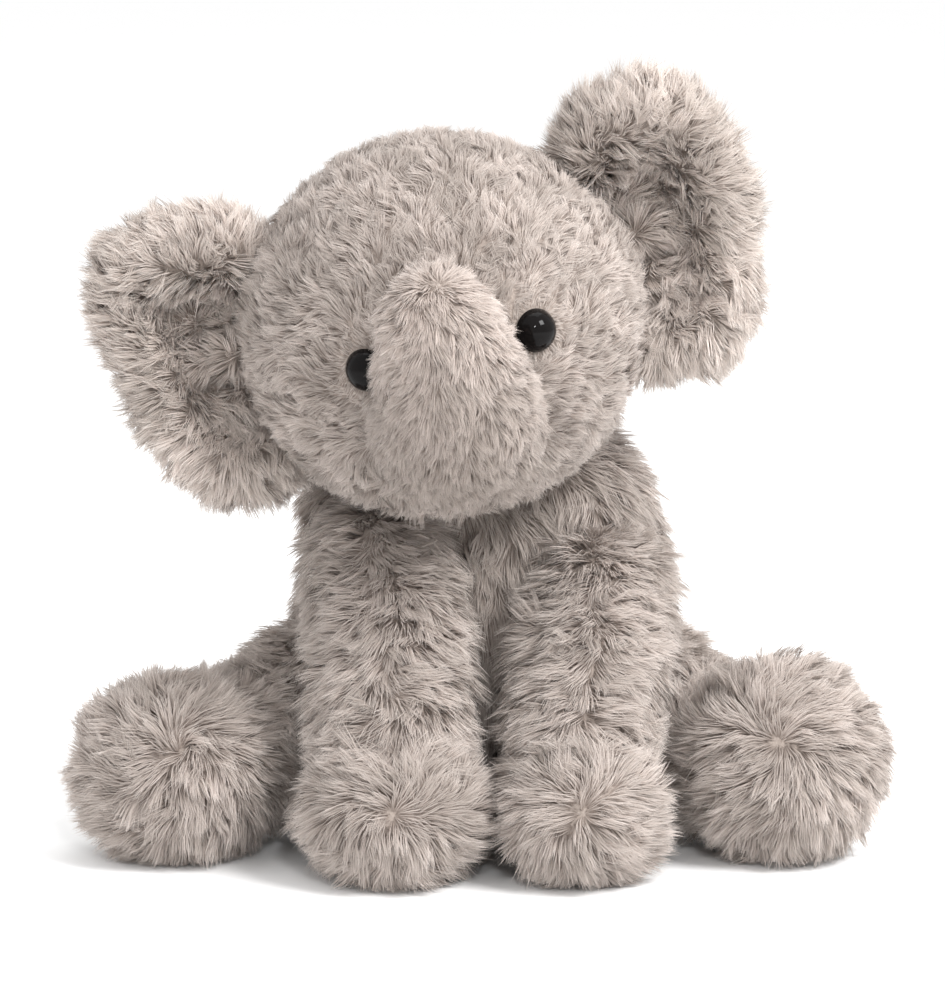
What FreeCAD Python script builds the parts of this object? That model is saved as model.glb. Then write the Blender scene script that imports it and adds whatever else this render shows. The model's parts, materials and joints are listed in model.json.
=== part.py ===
import FreeCAD, Part
import math
import os
from FreeCAD import Placement, Rotation, Vector

# A sitting stuffed elephant. It faces -Y, +Z is up, and its own left side is +X.
# The origin is on the floor under the middle of the toy. Lengths are millimetres, angles are degrees.

SIZES = {
    # fabric, stuffing and the room left between bodies that move
    "skin": 2.0,                      # thickness of the fur fabric with its backing
    "ear_skin": 1.5,
    "slack": 0.3,                     # between a cover and what fills it
    "room": 0.5,                      # between pieces that move against each other
    "taper_share": 0.97,              # a taper is a little slimmer than the ball it enters
    "wide": 400.0,                    # side of the boxes that halve and level the pieces
    # torso
    "torso_x": 2.0, "torso_y": 18.0, "torso_z": 66.0,
    "torso_half_width": 58.0, "torso_half_depth": 52.0, "torso_half_height": 78.0,
    "pouch_y": 34.0, "pouch_z": 19.0,
    "pouch_half_width": 24.0, "pouch_half_depth": 19.0, "pouch_half_height": 13.0,
    "stitch_radius": 0.6, "stitch_length": 6.0, "stitch_pitch": 6.5, "stitch_low": 62.0,
    "label_width": 14.0, "label_height": 16.0, "label_thickness": 0.8, "label_x": -20.0, "label_z": 20.0,
    # neck: a sewn ring round a ball of stuffing
    "neck_x": -7.0, "neck_y": -8.0, "neck_z": 112.0,
    "neck_radius": 18.0, "neck_band": 9.0,
    # head, rolled with its left side up
    "head_x": -11.5, "head_y": -22.0, "head_z": 166.0,
    "head_half_width": 59.0, "head_half_depth": 55.0, "head_half_height": 56.0,
    "head_roll": 13.0, "gusset_half": 13.0,
    "turn_limit": 25.0, "nod_back": -8.0, "nod_front": 10.0, "tilt_limit": 8.0,
    "sweep_ease": 1.6,                # the head passes this far outside its corner positions
    # eyes: dome, shank and locking washer
    "eye_x": 29.0, "eye_radius": 7.4, "eye_dome": 5.4, "eye_lift": 0.15,
    "shank_radius": 2.4, "shank_length": 10.0, "shank_play": 0.2,
    "washer_radius": 6.2, "washer_depth": 3.2, "washer_thickness": 1.6,
    # trunk, curling up in front of the face
    "trunk_root_x": -7.0, "trunk_root_y": -60.0, "trunk_root_z": 143.0, "trunk_root_radius": 26.0,
    "trunk_bend_x": -8.5, "trunk_bend_y": -83.0, "trunk_bend_z": 153.0, "trunk_bend_radius": 22.0,
    "trunk_tip_x": -10.8, "trunk_tip_y": -99.0, "trunk_tip_z": 181.0, "trunk_tip_radius": 17.0,
    "trunk_up": -4.0, "trunk_down": 24.0,
    # ears, in the head's own frame
    "ear_root_x": 62.0, "ear_y": 8.0, "ear_z": 10.0,
    "ear_rim": 44.0, "ear_half_thickness": 7.5,
    # front legs
    "front_shoulder_y": -14.0, "front_shoulder_radius": 22.5,
    "front_ankle_radius": 22.0, "front_ankle_lift": 6.0,
    "front_right_shoulder_x": -37.0, "front_right_shoulder_z": 79.0,
    "front_left_shoulder_x": 38.0, "front_left_shoulder_z": 78.0,
    "front_right_foot_x": -27.0, "front_right_foot_y": -61.0, "front_right_foot_half_width": 29.0,
    "front_left_foot_x": 32.0, "front_left_foot_y": -60.0, "front_left_foot_half_width": 25.0,
    "front_foot_z": 20.0, "front_foot_half_depth": 29.0, "front_foot_half_height": 24.0,
    "front_sole_radius": 14.0, "front_back": -3.0, "front_up": 40.0,
    # hind legs
    "hip_x": 48.0, "hip_y": 10.0, "hip_z": 34.0, "hip_radius": 22.0,
    "hind_ankle_x": 76.0, "hind_ankle_y": -17.0, "hind_ankle_z": 27.0, "hind_ankle_radius": 23.0,
    "hind_foot_x": 94.0, "hind_foot_y": -33.0, "hind_foot_z": 29.0, "hind_foot_radius": 32.0,
    "hind_sole_radius": 19.0, "hind_in": -4.0, "hind_out": 32.0,
    # tail
    "tail_root_y": 73.6, "tail_root_z": 42.0, "tail_root_radius": 5.5,
    "tail_end_y": 84.0, "tail_end_z": 29.0, "tail_end_radius": 4.5,
    "tuft_y": 89.0, "tuft_z": 20.0, "tuft_radius": 8.0, "tail_limit": 30.0,
}

doc = FreeCAD.newDocument("stuffed_elephant")
sheet = doc.addObject("Spreadsheet::Sheet", "Sizes")
for row, (alias, number) in enumerate(SIZES.items(), start=1):
    sheet.set("A%d" % row, alias)
    sheet.set("B%d" % row, str(number))
    sheet.setAlias("B%d" % row, alias)
doc.recompute()

nodes = []


def value(alias):
    """The number in the sheet's cell of that name."""
    return float(sheet.get(alias))


def spot(name, side=1.0):
    """The point NAME_x, NAME_y, NAME_z of the sheet, on the left side or mirrored to the right."""
    return Vector(side * value(name + "_x"), value(name + "_y"), value(name + "_z"))


def turned(point, pivot, axis, angle):
    """The point after a turn of that many degrees about an axis through the pivot."""
    return pivot + Rotation(axis, angle).multVec(point - pivot)


def toward(direction):
    """The rotation that stands a piece's own Z along the direction."""
    return Rotation(Vector(0, 0, 1), direction)


def ball(name, centre, radius):
    piece = doc.addObject("Part::Sphere", name)
    piece.setExpression("Radius", radius)
    piece.Placement = Placement(centre, Rotation())
    return piece


def egg(name, centre, half_x, half_y, half_z, turn=Rotation()):
    piece = doc.addObject("Part::Ellipsoid", name)
    piece.setExpression("Radius1", half_z)
    piece.setExpression("Radius2", half_x)
    piece.setExpression("Radius3", half_y)
    piece.Placement = Placement(centre, turn)
    return piece


def rod(name, start, direction, radius, length):
    piece = doc.addObject("Part::Cylinder", name)
    piece.setExpression("Radius", radius)
    piece.setExpression("Height", length)
    piece.Placement = Placement(start, toward(direction))
    return piece


def taper(name, start, end, start_radius, end_radius):
    piece = doc.addObject("Part::Cone", name)
    piece.setExpression("Radius1", start_radius)
    piece.setExpression("Radius2", end_radius)
    piece.Height = (end - start).Length
    piece.Placement = Placement(start, toward(end - start))
    return piece


def block(name, corner, length, width, height, turn=Rotation()):
    piece = doc.addObject("Part::Box", name)
    piece.setExpression("Length", length)
    piece.setExpression("Width", width)
    piece.setExpression("Height", height)
    piece.Placement = Placement(corner, turn)
    return piece


def fuse(name, pieces):
    joined = doc.addObject("Part::MultiFuse", name)
    joined.Shapes = pieces
    return joined


def cut(name, base, tool):
    rest = doc.addObject("Part::Cut", name)
    rest.Base = base
    rest.Tool = tool
    return rest


def common(name, base, tool):
    shared = doc.addObject("Part::Common", name)
    shared.Base = base
    shared.Tool = tool
    return shared


def node(piece, label):
    """Name a finished sub-part; its label is its file's name."""
    piece.Label = label
    nodes.append(piece)
    return piece


def chain(name, joints, change=""):
    """Balls joined by tapers. Each joint is (centre, radius cell); change is added to every radius."""
    pieces = []
    for index, (centre, radius) in enumerate(joints):
        pieces.append(ball("%s_ball%d" % (name, index), centre, "Sizes.%s %s" % (radius, change)))
    for index in range(len(joints) - 1):
        start, start_radius = joints[index]
        end, end_radius = joints[index + 1]
        wide_end = "(Sizes.%s %s) * Sizes.taper_share" % (start_radius, change)
        slim_end = "(Sizes.%s %s) * Sizes.taper_share" % (end_radius, change)
        pieces.append(taper("%s_taper%d" % (name, index), start, end, wide_end, slim_end))
    return fuse(name, pieces)


def above(name, height):
    """A wide block over the level that the height expression gives; it makes seats and soles flat."""
    half = value("wide") / 2.0
    slab = block(name, Vector(-half, -half, 0), "Sizes.wide", "Sizes.wide", "Sizes.wide")
    slab.setExpression(".Placement.Base.z", height)
    return slab


# Three nested surfaces make every stuffed piece: the outside, the cavity and the filling.
LAYERS = {
    "outside": "",
    "cavity": "- Sizes.skin",
    "filling": "- Sizes.skin - Sizes.slack",
}
# What is kept clear of a moving neighbour grows by the same steps.
CLEAR = {
    "outside": "+ Sizes.room",
    "cavity": "+ Sizes.room + Sizes.skin",
    "filling": "+ Sizes.room + Sizes.skin + Sizes.slack",
}
LEVELS = {
    "outside": "0",
    "cavity": "Sizes.skin",
    "filling": "Sizes.skin + Sizes.slack",
}

# ---------------------------------------------------------------- front legs


def front_leg(side_name):
    """Shoulder ball, column and a foot that stands flat on its sole."""
    name = "front_%s" % side_name
    shoulder = Vector(value(name + "_shoulder_x"), value("front_shoulder_y"), value(name + "_shoulder_z"))
    foot = Vector(value(name + "_foot_x"), value(name + "_foot_y"), value("front_foot_z"))
    ankle = foot + (shoulder - foot).normalize() * value("front_ankle_lift")
    joints = [(shoulder, "front_shoulder_radius"), (ankle, "front_ankle_radius")]
    solids = {}
    for layer, change in LAYERS.items():
        column = chain("%s_%s_column" % (name, layer), joints, change)
        toe = egg(
            "%s_%s_toe" % (name, layer), foot,
            "Sizes.%s_foot_half_width %s" % (name, change),
            "Sizes.front_foot_half_depth %s" % change,
            "Sizes.front_foot_half_height %s" % change)
        whole = fuse("%s_%s_whole" % (name, layer), [column, toe])
        floor = above("%s_%s_floor" % (name, layer), LEVELS[layer])
        solids[layer] = common("%s_%s" % (name, layer), whole, floor)
    shell = cut(name + "_shell", solids["outside"], solids["cavity"])
    below = Vector(foot.x, foot.y, -1.0)
    sole_tool = rod(name + "_sole_tool", below, Vector(0, 0, 1), "Sizes.front_sole_radius", "Sizes.skin + 1.5")
    node(cut(name + "_cover_cut", shell, sole_tool), name + "_leg_cover")
    node(common(name + "_sole_common", shell, sole_tool), name + "_sole")
    node(solids["filling"], name + "_leg_stuffing")
    return joints


# ----------------------------------------------------------------- hind legs


def hind_leg(side_name, side):
    """Hip ball, thigh and a round foot whose sole faces forwards and outwards."""
    name = "hind_%s" % side_name
    hip = spot("hip", side)
    ankle = spot("hind_ankle", side)
    foot = spot("hind_foot", side)
    joints = [(hip, "hip_radius"), (ankle, "hind_ankle_radius"), (foot, "hind_foot_radius")]
    solids = {}
    for layer, change in LAYERS.items():
        whole = chain("%s_%s_whole" % (name, layer), joints, change)
        floor = above("%s_%s_floor" % (name, layer), LEVELS[layer])
        solids[layer] = common("%s_%s" % (name, layer), whole, floor)
    shell = cut(name + "_shell", solids["outside"], solids["cavity"])
    outward = Vector(foot.x - hip.x, foot.y - hip.y, 0).normalize()
    sole_tool = rod(name + "_sole_tool", foot, outward, "Sizes.hind_sole_radius", "Sizes.hind_foot_radius * 2")
    node(cut(name + "_cover_cut", shell, sole_tool), name + "_leg_cover")
    node(common(name + "_sole_common", shell, sole_tool), name + "_sole")
    node(solids["filling"], name + "_leg_stuffing")
    return joints


front_right = front_leg("right")
front_left = front_leg("left")
hind_right = hind_leg("right", -1.0)
hind_left = hind_leg("left", 1.0)

# ------------------------------------------------------------ swept clearance


def swept(name, joints, axis, angles, change):
    """The space that a limb passes through as it turns about its first ball's centre."""
    pivot, root_radius = joints[0]
    pieces = [ball(name + "_root", pivot, "Sizes.%s %s" % (root_radius, change))]
    end, end_radius = joints[1]
    for index, angle in enumerate(angles):
        moved = turned(end, pivot, axis, angle)
        wide_end = "Sizes.%s * Sizes.taper_share %s" % (root_radius, change)
        slim_end = "Sizes.%s * Sizes.taper_share %s" % (end_radius, change)
        pieces.append(taper("%s_taper%d" % (name, index), pivot, moved, wide_end, slim_end))
    return pieces


def steps(low, high, count):
    """Evenly spaced angles from one limit to the other."""
    return [low + (high - low) * index / (count - 1) for index in range(count)]


# --------------------------------------------------------------------- torso

head_centre = spot("head")
neck_centre = spot("neck")
torso_centre = spot("torso")
AXIS_X = Vector(1, 0, 0)
AXIS_Y = Vector(0, 1, 0)
AXIS_Z = Vector(0, 0, 1)


def head_corners():
    """Where the head's centre goes at each combination of its turn, nod and tilt limits."""
    corners = []
    for turn in (-value("turn_limit"), value("turn_limit")):
        for nod in (value("nod_back"), value("nod_front")):
            for tilt in (-value("tilt_limit"), value("tilt_limit")):
                centre = turned(head_centre, neck_centre, AXIS_Y, tilt)
                centre = turned(centre, neck_centre, AXIS_X, nod)
                corners.append(turned(centre, neck_centre, AXIS_Z, turn))
    return corners


def torso_rooms(layer):
    """Everything that moves in or against the torso, grown by the layer's clearance."""
    change = CLEAR[layer]
    rooms = [ball("neck_room_%s" % layer, neck_centre, "Sizes.neck_radius %s" % change)]
    for index, corner in enumerate(head_corners()):
        reach = "Sizes.head_half_width + Sizes.sweep_ease %s" % change
        rooms.append(ball("head_room_%s_%d" % (layer, index), corner, reach))
    front_angles = steps(-value("front_up"), -value("front_back"), 4)
    rooms += swept("front_right_room_" + layer, front_right, AXIS_X, front_angles, change)
    rooms += swept("front_left_room_" + layer, front_left, AXIS_X, front_angles, change)
    out_angles = steps(value("hind_in"), value("hind_out"), 4)
    rooms += swept("hind_left_room_" + layer, hind_left, AXIS_Z, out_angles, change)
    in_angles = [-angle for angle in out_angles]
    rooms += swept("hind_right_room_" + layer, hind_right, AXIS_Z, in_angles, change)
    return rooms


def cut_all(name, base, rooms):
    """Take the rooms out of the base, one after the other."""
    rest = base
    for index, room in enumerate(rooms):
        rest = cut("%s_%d" % (name, index), rest, room)
    return rest


torso = {}
for layer, change in LAYERS.items():
    whole = egg(
        "torso_%s_egg" % layer, torso_centre,
        "Sizes.torso_half_width %s" % change,
        "Sizes.torso_half_depth %s" % change,
        "Sizes.torso_half_height %s" % change)
    seated = common("torso_%s_seated" % layer, whole, above("torso_%s_floor" % layer, LEVELS[layer]))
    torso[layer] = cut_all("torso_" + layer, seated, torso_rooms(layer))

node(cut("torso_shell", torso["outside"], torso["cavity"]), "torso_cover")
pouch_centre = Vector(value("torso_x"), value("pouch_y"), value("pouch_z"))


def pouch(name, change):
    return egg(
        name, pouch_centre,
        "Sizes.pouch_half_width %s" % change,
        "Sizes.pouch_half_depth %s" % change,
        "Sizes.pouch_half_height %s" % change)


node(pouch("pellets", ""), "pellet_pouch")
node(cut("torso_filling_cut", torso["filling"], pouch("pouch_room", "+ Sizes.slack")), "torso_stuffing")


def torso_back(x, z):
    """The y of the torso's rear surface at that x and z."""
    across = (x - torso_centre.x) / value("torso_half_width")
    up = (z - torso_centre.z) / value("torso_half_height")
    return torso_centre.y + value("torso_half_depth") * math.sqrt(1.0 - across ** 2 - up ** 2)


STITCHES = 7
stitches = []
for number in range(STITCHES):
    height = value("stitch_low") + number * value("stitch_pitch")
    start = Vector(
        torso_centre.x - value("stitch_length") / 2.0,
        torso_back(torso_centre.x, height) + value("stitch_radius") + value("slack"),
        height)
    stitches.append(rod("stitch_%d" % number, start, AXIS_X, "Sizes.stitch_radius", "Sizes.stitch_length"))
seam = doc.addObject("Part::Compound", "seam")
seam.Links = stitches
node(seam, "closing_stitches")

label_x = value("label_x")
label_z = value("label_z")
label_edge = torso_back(label_x + value("label_thickness"), label_z + value("label_height"))
label_corner = Vector(label_x, label_edge + value("slack"), label_z)
label_piece = block(
    "label_tab", label_corner, "Sizes.label_thickness", "Sizes.label_width", "Sizes.label_height")
node(label_piece, "care_label")

# ---------------------------------------------------------------------- neck

neck_ball = ball("neck_ball", neck_centre, "Sizes.neck_radius - Sizes.skin - Sizes.slack")
node(neck_ball, "neck_stuffing")
collar_ball = ball("collar_ball", neck_centre, "Sizes.neck_radius")
collar_hollow = ball("collar_hollow", neck_centre, "Sizes.neck_radius - Sizes.skin")
collar_shell = cut("collar_shell", collar_ball, collar_hollow)
collar_slab = block(
    "collar_slab", neck_centre - Vector(50, 50, value("neck_band")), "100", "100", "Sizes.neck_band * 2")
node(common("collar_band", collar_shell, collar_slab), "neck_collar")

# ---------------------------------------------------------------------- head

head_turn = Rotation(AXIS_Y, -value("head_roll"))


def on_head(x, y, z):
    """A point given in the head's own rolled frame."""
    return head_centre + head_turn.multVec(Vector(x, y, z))


trunk_joints = [
    (spot("trunk_root"), "trunk_root_radius"),
    (spot("trunk_bend"), "trunk_bend_radius"),
    (spot("trunk_tip"), "trunk_tip_radius"),
]
head_side = head_turn.multVec(AXIS_X)
head_up = head_turn.multVec(AXIS_Z)


def trunk_room(layer):
    """The space of the trunk's root and bend as it uncurls."""
    change = CLEAR[layer]
    pivot, root_radius = trunk_joints[0]
    bend, bend_radius = trunk_joints[1]
    tip, tip_radius = trunk_joints[2]
    pieces = [ball("trunk_room_root_" + layer, pivot, "Sizes.%s %s" % (root_radius, change))]
    for index, angle in enumerate(steps(value("trunk_up"), value("trunk_down"), 4)):
        name = "trunk_room_%s_%d" % (layer, index)
        bend_now = turned(bend, pivot, head_side, angle)
        tip_now = turned(tip, pivot, head_side, angle)
        pieces.append(ball(name + "_bend", bend_now, "Sizes.%s %s" % (bend_radius, change)))
        pieces.append(taper(
            name + "_root_taper", pivot, bend_now,
            "Sizes.%s * Sizes.taper_share %s" % (root_radius, change),
            "Sizes.%s * Sizes.taper_share %s" % (bend_radius, change)))
        pieces.append(taper(
            name + "_tip_taper", bend_now, tip_now,
            "Sizes.%s * Sizes.taper_share %s" % (bend_radius, change),
            "Sizes.%s * Sizes.taper_share %s" % (tip_radius, change)))
    return pieces


head = {}
for layer, change in LAYERS.items():
    whole = egg(
        "head_%s_egg" % layer, head_centre,
        "Sizes.head_half_width %s" % change,
        "Sizes.head_half_depth %s" % change,
        "Sizes.head_half_height %s" % change,
        head_turn)
    rooms = [ball("head_neck_room_" + layer, neck_centre, "Sizes.neck_radius %s" % CLEAR[layer])]
    rooms += trunk_room(layer)
    head[layer] = cut_all("head_" + layer, whole, rooms)

head_shell = cut("head_shell", head["outside"], head["cavity"])


def head_slab(name, start_x, length):
    """A block across the head, from start_x on in the head's own frame."""
    half = value("wide") / 2.0
    corner = on_head(start_x, -half, -half)
    return block(name, corner, length, "Sizes.wide", "Sizes.wide", head_turn)


gusset_half = value("gusset_half")
node(common("gusset_strip", head_shell, head_slab("gusset_slab", -gusset_half, "Sizes.gusset_half * 2")),
     "head_gusset")
left_panel = common("left_panel", head_shell, head_slab("left_slab", gusset_half, "Sizes.wide"))
right_panel = common(
    "right_panel", head_shell, head_slab("right_slab", -gusset_half - value("wide"), "Sizes.wide"))

# ---------------------------------------------------------------------- eyes


def eye(side_name, side):
    """A domed safety eye on a shank, and the washer that locks it behind the fabric."""
    x = side * value("eye_x")
    across = x / value("head_half_width")
    y = -value("head_half_depth") * math.sqrt(1.0 - across ** 2)
    local_normal = Vector(x / value("head_half_width") ** 2, y / value("head_half_depth") ** 2, 0).normalize()
    normal = head_turn.multVec(local_normal)
    seat = on_head(x, y, 0) + normal * value("eye_lift")
    name = "eye_" + side_name
    body = doc.addObject("PartDesign::Body", name + "_body")
    sketch = body.newObject("Sketcher::SketchObject", name + "_profile")
    plane = [f for f in body.Origin.OriginFeatures if f.Role == "XZ_Plane"][0]
    sketch.AttachmentSupport = [(plane, "")]
    sketch.MapMode = "FlatFace"
    radius = value("eye_radius")
    dome = value("eye_dome")
    shank = value("shank_radius")
    depth = value("shank_length")
    # the dome is a circular arc through the rim and the crown
    arc_radius = (radius ** 2 + dome ** 2) / (2.0 * dome)
    centre_height = dome - arc_radius
    rim_angle = math.atan2(-centre_height, radius)
    crown = Vector(0, dome, 0)
    rim = Vector(radius, 0, 0)
    neck = Vector(shank, 0, 0)
    foot = Vector(shank, -depth, 0)
    base = Vector(0, -depth, 0)
    circle = Part.Circle(Vector(0, centre_height, 0), Vector(0, 0, 1), arc_radius)
    sketch.addGeometry(Part.ArcOfCircle(circle, rim_angle, math.pi / 2.0), False)
    for start, end in ((rim, neck), (neck, foot), (foot, base), (base, crown)):
        sketch.addGeometry(Part.LineSegment(start, end), False)
    turn = body.newObject("PartDesign::Revolution", name + "_turn")
    turn.Profile = sketch
    turn.ReferenceAxis = (sketch, ["V_Axis"])
    turn.Angle = 360.0
    body.Placement = Placement(seat, toward(normal))
    node(body, name)
    washer_spot = seat - normal * (value("washer_depth") + value("washer_thickness"))
    disc = rod(name + "_disc", washer_spot, normal, "Sizes.washer_radius", "Sizes.washer_thickness")
    hole = rod(
        name + "_hole", washer_spot - normal, normal,
        "Sizes.shank_radius + Sizes.shank_play", "Sizes.washer_thickness + 2")
    node(cut(name + "_washer_cut", disc, hole), "eye_washer_" + side_name)
    deep = seat - normal * (depth + value("slack"))
    shank_hole = rod(
        name + "_shank_hole", deep, normal,
        "Sizes.shank_radius + Sizes.shank_play", "Sizes.shank_length + 1")
    washer_room = rod(
        name + "_washer_room", deep, normal,
        "Sizes.washer_radius + Sizes.slack", "Sizes.shank_length")
    return shank_hole, washer_room


left_hole, left_washer_room = eye("left", 1.0)
right_hole, right_washer_room = eye("right", -1.0)
node(cut("left_panel_cut", left_panel, left_hole), "head_side_left")
node(cut("right_panel_cut", right_panel, right_hole), "head_side_right")
node(cut_all("head_fill", head["filling"], [left_washer_room, right_washer_room]), "head_stuffing")

# --------------------------------------------------------------------- trunk

trunk_outside = chain("trunk_outside", trunk_joints)
trunk_cavity = chain("trunk_cavity", trunk_joints, LAYERS["cavity"])
node(cut("trunk_shell", trunk_outside, trunk_cavity), "trunk_cover")
node(chain("trunk_filling", trunk_joints, LAYERS["filling"]), "trunk_stuffing")

# ---------------------------------------------------------------------- ears


EAR_CURVE = "(Sizes.ear_rim ^ 2 + Sizes.ear_half_thickness ^ 2) / (2 * Sizes.ear_half_thickness)"


def lens(name, middle, change):
    """A round lens: what two large balls share. Its rim has the ear's radius."""
    rim = value("ear_rim")
    thickness = value("ear_half_thickness")
    curve = (rim ** 2 + thickness ** 2) / (2.0 * thickness)
    reach = AXIS_Y * (curve - thickness)
    front_face = ball(name + "_front_face", middle + reach, "%s %s" % (EAR_CURVE, change))
    back_face = ball(name + "_back_face", middle - reach, "%s %s" % (EAR_CURVE, change))
    return common(name + "_lens", front_face, back_face)


def ear(side_name, side):
    """A flat padded ear of two panels round a wadding, level along its root."""
    name = "ear_" + side_name
    root_x = value("ear_root_x")
    middle = on_head(side * root_x, value("ear_y"), value("ear_z"))
    insets = {"outside": 0.0, "cavity": value("ear_skin"), "filling": value("ear_skin") + value("slack")}
    changes = {"outside": "", "cavity": "- Sizes.ear_skin", "filling": "- Sizes.ear_skin - Sizes.slack"}
    solids = {}
    for layer, change in changes.items():
        blade = lens("%s_%s" % (name, layer), middle, change)
        inset = insets[layer]
        near = root_x + inset if side > 0 else -root_x - inset - value("wide")
        beyond = head_slab("%s_%s_beyond" % (name, layer), near, "Sizes.wide")
        solids[layer] = common("%s_%s" % (name, layer), blade, beyond)
    shell = cut(name + "_shell", solids["outside"], solids["cavity"])
    half = value("wide") / 2.0
    front = block(
        name + "_front_half", on_head(-half, value("ear_y") - value("wide"), -half),
        "Sizes.wide", "Sizes.wide", "Sizes.wide", head_turn)
    back = block(
        name + "_back_half", on_head(-half, value("ear_y"), -half),
        "Sizes.wide", "Sizes.wide", "Sizes.wide", head_turn)
    node(common(name + "_front_common", shell, front), name + "_front_panel")
    node(common(name + "_back_common", shell, back), name + "_back_panel")
    node(solids["filling"], name + "_wadding")


ear("right", -1.0)
ear("left", 1.0)

# ---------------------------------------------------------------------- tail

tail_joints = [
    (Vector(value("torso_x"), value("tail_root_y"), value("tail_root_z")), "tail_root_radius"),
    (Vector(value("torso_x"), value("tail_end_y"), value("tail_end_z")), "tail_end_radius"),
]
tuft = ball("tuft", Vector(value("torso_x"), value("tuft_y"), value("tuft_z")), "Sizes.tuft_radius")
tuft_room = ball(
    "tuft_room", Vector(value("torso_x"), value("tuft_y"), value("tuft_z")),
    "Sizes.tuft_radius + Sizes.slack")
tail_whole = chain("tail_whole", tail_joints)
node(cut("tail_cut", tail_whole, tuft_room), "tail_cover")
node(tuft, "tail_tuft")

# ------------------------------------------------------------ check and write

doc.recompute()
failed = [piece.Label for piece in doc.Objects if "Invalid" in piece.State or "Error" in piece.State]
if failed:
    raise RuntimeError("could not be built: %s" % ", ".join(failed))

os.makedirs("parts", exist_ok=True)
for piece in nodes:
    shape = piece.Shape
    if shape.isNull() or not shape.isValid():
        raise RuntimeError("%s has no valid shape" % piece.Label)
    if not shape.Solids:
        raise RuntimeError("%s has no solid" % piece.Label)
    shape.exportStep("parts/%s.step" % piece.Label)
    print("%-24s %d solid(s) %10.0f mm3" % (piece.Label, len(shape.Solids), shape.Volume))
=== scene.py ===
import json
import math

import bpy
import numpy as np
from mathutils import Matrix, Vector, kdtree


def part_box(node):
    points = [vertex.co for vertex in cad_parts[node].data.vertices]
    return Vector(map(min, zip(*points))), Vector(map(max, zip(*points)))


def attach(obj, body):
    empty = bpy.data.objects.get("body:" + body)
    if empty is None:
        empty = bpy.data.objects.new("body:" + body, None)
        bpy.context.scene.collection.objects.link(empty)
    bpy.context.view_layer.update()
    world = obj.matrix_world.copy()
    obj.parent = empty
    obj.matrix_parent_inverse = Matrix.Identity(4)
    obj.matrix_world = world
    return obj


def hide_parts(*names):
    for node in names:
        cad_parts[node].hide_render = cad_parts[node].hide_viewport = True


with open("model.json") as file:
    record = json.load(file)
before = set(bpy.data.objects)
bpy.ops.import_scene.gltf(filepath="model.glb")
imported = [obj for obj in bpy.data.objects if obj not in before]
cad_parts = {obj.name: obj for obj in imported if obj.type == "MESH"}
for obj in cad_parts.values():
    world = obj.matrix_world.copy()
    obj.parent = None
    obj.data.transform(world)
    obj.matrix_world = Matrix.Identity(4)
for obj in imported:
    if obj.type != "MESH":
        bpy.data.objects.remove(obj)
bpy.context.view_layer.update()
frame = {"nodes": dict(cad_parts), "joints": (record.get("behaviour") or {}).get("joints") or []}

# The stuffed elephant's looks. Shapes are worked out in millimetres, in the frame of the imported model:
# it faces -Y, +Z is up and +X is its own left. Meshes are written in metres.
MM = 0.001
TONES = 48                       # columns of the strand palette, from dark to light
HAIRS = 3                        # fine stripes drawn along each blade
SMOOTH_TURNS = 10
VOXEL = 2.4
FLOOR_GAP = 0.6                  # soft skins stay this far above the floor
SKIN_THICK = 2.6                 # from a skin's outside to its filling
AROUND = 48                      # points on a lathe-turned ring
ROOT_DEPTH = 0.35                # a strand's root sits this deep under its skin
LEAST_LAY, MOST_LAY = 0.15, 1.38  # how far a strand may lean from the skin's normal, in radians
SHORTEST, LONGEST = 0.3, 1.6     # a strand's length as a share of its piece's length

joints = {j["name"]: j for j in frame["joints"]}


def joint_spot(name):
    return np.array(joints[name]["pos_m"]) / MM


def joint_axis(name):
    axis = np.array(joints[name]["axis"], float)
    return axis / np.linalg.norm(axis)


def box_mm(node):
    low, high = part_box(node)
    return np.array(low) / MM, np.array(high) / MM


# ------------------------------------------------------------------ the frame's own landmarks

HEAD_UP = joint_axis("ear_left_flap")
HEAD_SIDE = joint_axis("trunk_bend")
HEAD_FRONT = np.array([0.0, -1.0, 0.0])
EAR_BACK = 8.0                   # the ear roots lie this far behind the head's centre, and this far up
EAR_RISE = 10.0
HEAD_DROP = 0.8                  # the pile's head hangs a little lower than the CAD's
ear_middle = (joint_spot("ear_left_flap") + joint_spot("ear_right_flap")) / 2.0
HEAD = ear_middle - HEAD_UP * (EAR_RISE + HEAD_DROP) + HEAD_FRONT * EAR_BACK
HEAD_HALF = np.array([60.4, 54.8, 57.4])
TORSO = np.array([2.0, 24.0, 66.0])


def on_head(x, y, z):
    """A point in the head's own frame: x to its left, y to its back, z up."""
    return HEAD + HEAD_SIDE * x - HEAD_FRONT * y + HEAD_UP * z


def into_head(points):
    """Points in the head's own frame."""
    rel = points - HEAD
    return np.stack([rel @ HEAD_SIDE, -(rel @ HEAD_FRONT), rel @ HEAD_UP], axis=1)


# ------------------------------------------------------------------------------ small vector tools


def unit(v):
    return v / np.maximum(np.linalg.norm(v, axis=-1, keepdims=True), 1e-9)


def flatten_to(v, normals):
    """The part of v that lies along the surface."""
    return v - normals * np.sum(v * normals, axis=1, keepdims=True)


def waves(points, size, seed):
    """Smooth noise from -1 to 1 whose patches are about size across."""
    rng = np.random.default_rng(seed)
    total = np.zeros(len(points))
    count = 7
    for _ in range(count):
        direction = unit(rng.normal(size=3))
        phase = rng.uniform(0, 2 * math.pi)
        stretch = rng.uniform(0.7, 1.5)
        total += np.sin(points @ direction * (2 * math.pi * stretch / size) + phase)
    return total / (count ** 0.5) / 1.2


# -------------------------------------------------------------------------------------- materials


def new_material(name):
    material = bpy.data.materials.new(name)
    material.use_nodes = True
    nodes = material.node_tree.nodes
    return material, nodes, material.node_tree.links, nodes["Principled BSDF"]


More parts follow.
